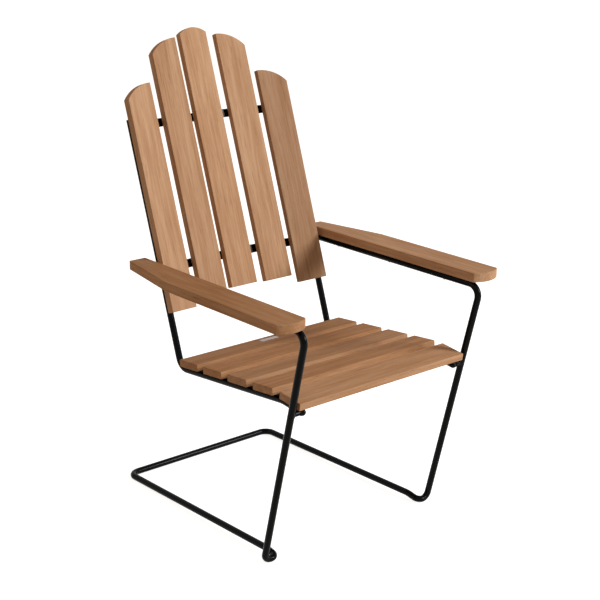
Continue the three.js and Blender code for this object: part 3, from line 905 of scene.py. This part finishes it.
def cut_board(bm, start, arc_middle, sweep, corners, thickness, edge):
    first = bmesh.ops.create_vert(bm, co=start)["vert"][0]
    steps = max(fewest_arc_steps, math.ceil(abs(sweep) / bend_step))
    spun = bmesh.ops.spin(
        bm, geom=[first], cent=arc_middle, axis=(0, 0, 1), angle=sweep, steps=steps,
    )
    last = verts_in(spun["geom_last"])[0]
    for corner in corners:
        grown = bmesh.ops.extrude_vert_indiv(bm, verts=[last])["verts"][0]
        grown.co = corner
        last = grown
    bmesh.ops.contextual_create(bm, geom=[last, first])
    bmesh.ops.contextual_create(bm, geom=bm.edges[:])
    made = bmesh.ops.extrude_face_region(bm, geom=bm.faces[:])["geom"]
    bmesh.ops.translate(bm, verts=verts_in(made), vec=(0, 0, thickness))
    bmesh.ops.recalc_face_normals(bm, faces=bm.faces)
    ease(bm, sharp_edges(bm), edge)


# %% [markdown]
# The back slats stand on the curve, each flat board turned to touch it. The middle one has a low
# round crown. The tops of the others fall away outwards, so that all five follow one sweep.

# %% Back slats
back_slat_width = 78.5 * MM
back_slat_thickness = 17 * MM
back_slat_edge = 1.2 * MM
slat_seat = 1248.7835 * MM
slat_foot = [156.9 * MM, 153.4 * MM, 132.4 * MM]
slat_shoulder = [779.5 * MM, 772.3 * MM, 670.8 * MM]
crown = 13.6 * MM
fall = 35.2 * MM
board_on_back = Matrix(((0, 1, 0, 0), (0, 0, 1, 0), (1, 0, 0, 0), (0, 0, 0, 1)))


def turned_to(turn):
    """The back's axes, moved to the curve's middle and turned to face a slat."""
    return back_frame @ Matrix.Translation(curve_middle) @ Matrix.Rotation(-turn, 4, "Z")


def make_back_slat(name, steps, turn):
    half = back_slat_width / 2
    order = abs(steps)
    outwards = 1 if steps > 0 else -1
    length = slat_shoulder[order] - slat_foot[order]
    if order == 0:
        radius = (half ** 2 + crown ** 2) / (2 * crown)
        start = Vector((length, -half, 0))
        arc_middle = Vector((length + crown - radius, 0, 0))
        sweep = 2 * math.asin(half / radius)
    else:
        radius = (back_slat_width ** 2 + fall ** 2) / (2 * fall)
        start = Vector((length, -outwards * half, 0))
        arc_middle = Vector((length - radius, -outwards * half, 0))
        sweep = outwards * math.asin(back_slat_width / radius)
    near = 1 if sweep > 0 else -1
    corners = [Vector((0, near * half, 0)), Vector((0, -near * half, 0))]
    bm = bmesh.new()
    cut_board(bm, start, arc_middle, sweep, corners, back_slat_thickness, back_slat_edge)
    bmesh.ops.translate(bm, verts=bm.verts, vec=(0, 0, -back_slat_thickness))
    on_bars = Matrix.Translation((0, slat_seat, slat_foot[order]))
    place_board(bm, turned_to(turn) @ on_bars @ board_on_back, name)


for number, (steps, turn) in enumerate(zip(slat_steps, slat_turns), start=1):
    make_back_slat(f"back_slat_{number}", steps, turn)

# %% [markdown]
# Each arm is a board 79 by 21.5 mm, flat on its rod. The front is cut to a shallow arc, and the
# outer edge runs in towards the back until the tail is 44 mm wide. The arm rod lies under its
# inner edge.

# %% Arms
arm_width = 79 * MM
arm_tail_width = 44 * MM
arm_thickness = 21.5 * MM
arm_length = 589.791 * MM
arm_taper = 192 * MM
arm_nose = 14 * MM
arm_inset = 10.3 * MM
arm_edge = 1.5 * MM
arm_lift = 8.3 * MM
arm_pitch = math.atan2(arm_ahead.z, arm_ahead.y)
board_on_arm = Matrix(((0, -1, 0, 0), (1, 0, 0, 0), (0, 0, 1, 0), (0, 0, 0, 1)))


def make_armrest(name, side):
    half = arm_width / 2
    radius = (half ** 2 + arm_nose ** 2) / (2 * arm_nose)
    start = Vector((arm_nose, 0, 0))
    arc_middle = Vector((radius, -side * half, 0))
    sweep = side * 2 * math.asin(half / radius)
    corners = [
        Vector((arm_length - arm_taper, -side * arm_width, 0)),
        Vector((arm_length, -side * arm_tail_width, 0)),
        Vector((arm_length, 0, 0)),
    ]
    bm = bmesh.new()
    cut_board(bm, start, arc_middle, sweep, corners, arm_thickness, arm_edge)
    matrix = (
        Matrix.Translation(mirrored(left_route[1], side)) @ Matrix.Rotation(arm_pitch, 4, "X")
        @ Matrix.Translation((-side * arm_inset, 0, arm_lift)) @ board_on_arm
    )
    place_board(bm, matrix, name)


for name, side in sides.items():
    make_armrest(f"armrest_{name}", side)

# %% [markdown]
# Twenty-six stainless pan-head screws hold the wood. One is turned here as on a lathe: half its
# outline is spun a full turn about its own axis. A cross recess is cut in the head, and then each
# screw is a copy of that mesh, moved to its hole. Their three lengths differ in the shank only.

# %% One screw
shank_radius = 2.25 * MM
head_radius = 4.5 * MM
head_height = 2.8 * MM
head_outline = [(1, 0), (1, 0.4), (0.94, 0.68), (0.8, 0.86), (0.55, 0.97), (0, 1)]
tip_length = 3 * MM
tip_radius = 0.2 * shank_radius
screw_turns = 24
same_point = 0.001 * MM
recess_length = 5 * MM
recess_width = 1 * MM
recess_depth = 1.5 * MM
recess_taper = 0.6


def turned_screw(shank_length):
    """The head's seat is at the origin, and the head stands up along Z."""
    outline = [
        (0, -shank_length), (tip_radius, -shank_length),
        (shank_radius, tip_length - shank_length), (shank_radius, 0),
    ]
    outline += [(head_radius * reach, head_height * level) for reach, level in head_outline]
    bm = bmesh.new()
    last = bmesh.ops.create_vert(bm, co=Vector((outline[0][0], 0, outline[0][1])))["vert"][0]
    for reach, level in outline[1:]:
        last = bmesh.ops.extrude_vert_indiv(bm, verts=[last])["verts"][0]
        last.co = Vector((reach, 0, level))
    bmesh.ops.spin(
        bm, geom=bm.verts[:] + bm.edges[:], cent=(0, 0, 0), axis=(0, 0, 1), angle=2 * math.pi,
        steps=screw_turns, use_merge=True,
    )
    bmesh.ops.remove_doubles(bm, verts=bm.verts, dist=same_point)
    cross = bmesh.new()
    for length, width in ((recess_length, recess_width), (recess_width, recess_length)):
        made = add_block(cross, (length, width, 2 * recess_depth))
        bottom = [vertex for vertex in made if vertex.co.z < 0]
        bmesh.ops.scale(cross, verts=bottom, vec=(recess_taper, recess_taper, 1))
        bmesh.ops.translate(cross, verts=made, vec=(0, 0, head_height))
    return drill(bm, cross)


screw_meshes = {}


def make_screw(node, shank_length, matrix):
    if shank_length not in screw_meshes:
        turned = turned_screw(shank_length)
        screw_meshes[shank_length] = bpy.data.meshes.new("turned_screw")
        turned.to_mesh(screw_meshes[shank_length])
        turned.free()
    bm = bmesh.new()
    bm.from_mesh(screw_meshes[shank_length])
    bmesh.ops.transform(bm, verts=bm.verts, matrix=matrix)
    make_piece(bm, f"turned_{node}", stainless, "screw_steel", node)


# %% [markdown]
# The seat screws come up through the strips and the arm screws up through the arm rods, so their
# heads look down. The back screws go in from behind through the crossbars, so theirs look back.

# %% All the screws
head_down = Matrix.Rotation(math.pi, 4, "X")
head_to_rear = Matrix.Rotation(-math.pi / 2, 4, "X")
seat_shank = 15.6 * MM
back_reach = 16.3 * MM  # the bar, the gap under the head and 12 mm of wood
back_shank = curve_radius - slat_seat + back_reach
arm_shank = 26.4 * MM
screw_gap = 0.3 * MM

for name, side in sides.items():
    for number, (frame_here, place) in enumerate(seat_places, start=1):
        seat = Vector((side * strip_screw_x, place, strip_level - screw_gap))
        matrix = frame_here @ Matrix.Translation(seat) @ head_down
        make_screw(f"seat_screw_{name}_{number}", seat_shank, matrix)
    for number, spot in enumerate(arm_screw_spots, start=1):
        seat = mirrored(left_route[1] + arm_ahead * spot, side)
        seat -= arm_up * (rod_radius - head_seat_depth + screw_gap)
        matrix = Matrix.Translation(seat) @ Matrix.Rotation(arm_pitch, 4, "X") @ head_down
        make_screw(f"arm_screw_{name}_{number}", arm_shank, matrix)

for level, rise in bar_rises.items():
    for number, turn in enumerate(slat_turns, start=1):
        seat = Vector((0, curve_radius + bar_thickness + screw_gap, rise - bar_drop(turn)))
        matrix = turned_to(turn) @ Matrix.Translation(seat) @ head_to_rear
        make_screw(f"back_screw_{level}_{number}", back_shank, matrix)

# %% [markdown]
# A small bare plate is pressed into the rear seat slat, close to its back edge. It has rounded
# corners and a softly broken rim, and nothing on it.

# %% Plate on the seat
plate_size = (52 * MM, 15 * MM, 0.8 * MM)
plate_corner = 1.5 * MM
plate_rim = 0.2 * MM
plate_place = (1 * MM, 330 * MM)


def make_plate():
    bm = bmesh.new()
    add_block(bm, plate_size)
    upright = [e for e in bm.edges if abs(e.verts[0].co.z - e.verts[1].co.z) > plate_rim]
    ease(bm, upright, plate_corner, round_edge_steps)
    rim = [edge for edge in bm.edges if min(vertex.co.z for vertex in edge.verts) > 0]
    ease(bm, rim, plate_rim, small_edge_steps)
    top = slat_level + seat_slat_size[2]
    middle = Vector((*plate_place, top + plate_size[2] / 4))  # a quarter of it lies in the wood
    bmesh.ops.transform(bm, verts=bm.verts, matrix=rail_frame @ Matrix.Translation(middle))
    make_piece(bm, "bare_seat_plate", aluminium, "screw_steel")
    print("bare_seat_plate:", [round(side / MM, 1) for side in plate_size], "mm")


make_plate()

# %% [markdown]
# The chair stands on a plain pale floor in a white room. The background is white only for the
# camera and for reflections, through Light Path, so it puts no more light on the chair. The sky
# that does light it is weaker and a little warm, as light is that has come off wood and walls.
# The floor adds the same kind of glow to its own shading, and keeps the shadow.

# %% Floor and sky
floor_reach = 30
floor_colour = "#e2e2e2"
sky_light = 0.32
sky_tint = "#ffe6cd"
floor_glow = 0.85


def seen_directly(tree):
    """One for camera, glossy and transmission rays, and zero for the light that falls on things."""
    path = add(tree, "ShaderNodeLightPath").outputs
    mirror = add(tree, "ShaderNodeMath", {
        0: path["Is Glossy Ray"], 1: path["Is Transmission Ray"],
    }, operation="MAXIMUM")
    return add(tree, "ShaderNodeMath", {
        0: path["Is Camera Ray"], 1: mirror.outputs["Value"],
    }, operation="MAXIMUM").outputs["Value"]


def make_sky():
    world = bpy.data.worlds.new("white_room")
    world.use_nodes = True
    tree = world.node_tree
    tree.nodes.clear()
    seen = seen_directly(tree)
    strength = add(tree, "ShaderNodeMapRange", {"Value": seen, "To Min": sky_light, "To Max": 1})
    colour = add(tree, "ShaderNodeMix", {
        "Factor": seen, "A": linear(sky_tint), "B": linear("#ffffff"),
    }, data_type="RGBA")
    sky = add(tree, "ShaderNodeBackground", {
        "Color": colour.outputs["Result"], "Strength": strength.outputs["Result"],
    })
    add(tree, "ShaderNodeOutputWorld", {"Surface": sky.outputs["Background"]})
    bpy.context.scene.world = world


def make_floor():
    finish, tree = new_finish("pale_floor")
    matt = add(tree, "ShaderNodeBsdfDiffuse", {"Color": linear(floor_colour)})
    strength = add(tree, "ShaderNodeMath", {
        0: seen_directly(tree), 1: floor_glow,
    }, operation="MULTIPLY")
    glow = add(tree, "ShaderNodeEmission", {"Strength": strength.outputs["Value"]})
    both = add(tree, "ShaderNodeAddShader", {
        0: matt.outputs["BSDF"], 1: glow.outputs["Emission"],
    })
    add(tree, "ShaderNodeOutputMaterial", {"Surface": both.outputs["Shader"]})
    bm = bmesh.new()
    bmesh.ops.create_grid(bm, x_segments=1, y_segments=1, size=floor_reach)
    floor = object_of(bm, "floor")
    floor.data.materials.append(finish)


make_sky()
make_floor()
print("floor:", 2 * floor_reach, "m square, sky at", sky_light)

# %% [markdown]
# The main lamp is a soft square, six metres off, to the right of the camera and twice its height.
# From there the arm throws a shadow on the back, and the rod across the floor mirrors the lamp in
# a thin line, as in the picture. A weak lamp on the left, a little behind, brightens the boards'
# left edges. The Standard view shows each colour about as it is written.

# %% Lamps
lamp_distance = 6
lamp_tint = "#eff5fc"
lamp_target = Vector((0, 0, 0.5))


def make_lamp(name, turn, height, size, power):
    data = bpy.data.lights.new(name, "AREA")
    data.size = size
    data.energy = power
    data.color = linear(lamp_tint)[:3]
    lamp = bpy.data.objects.new(name, data)
    turn, height = math.radians(turn), math.radians(height)
    flat = math.cos(height)
    towards = Vector((math.sin(turn) * flat, -math.cos(turn) * flat, math.sin(height)))
    place = lamp_target + towards * lamp_distance
    aim = (-towards).to_track_quat("-Z", "Y").to_matrix().to_4x4()
    lamp.matrix_world = Matrix.Translation(place) @ aim
    bpy.context.scene.collection.objects.link(lamp)
    print(f"{name}: {power} W from a {size} m square, {place.z:.1f} m up")


make_lamp("main_lamp", turn=37, height=24, size=1.7, power=345)
make_lamp("side_lamp", turn=-110, height=20, size=2.8, power=28)
bpy.context.scene.view_settings.view_transform = "Standard"
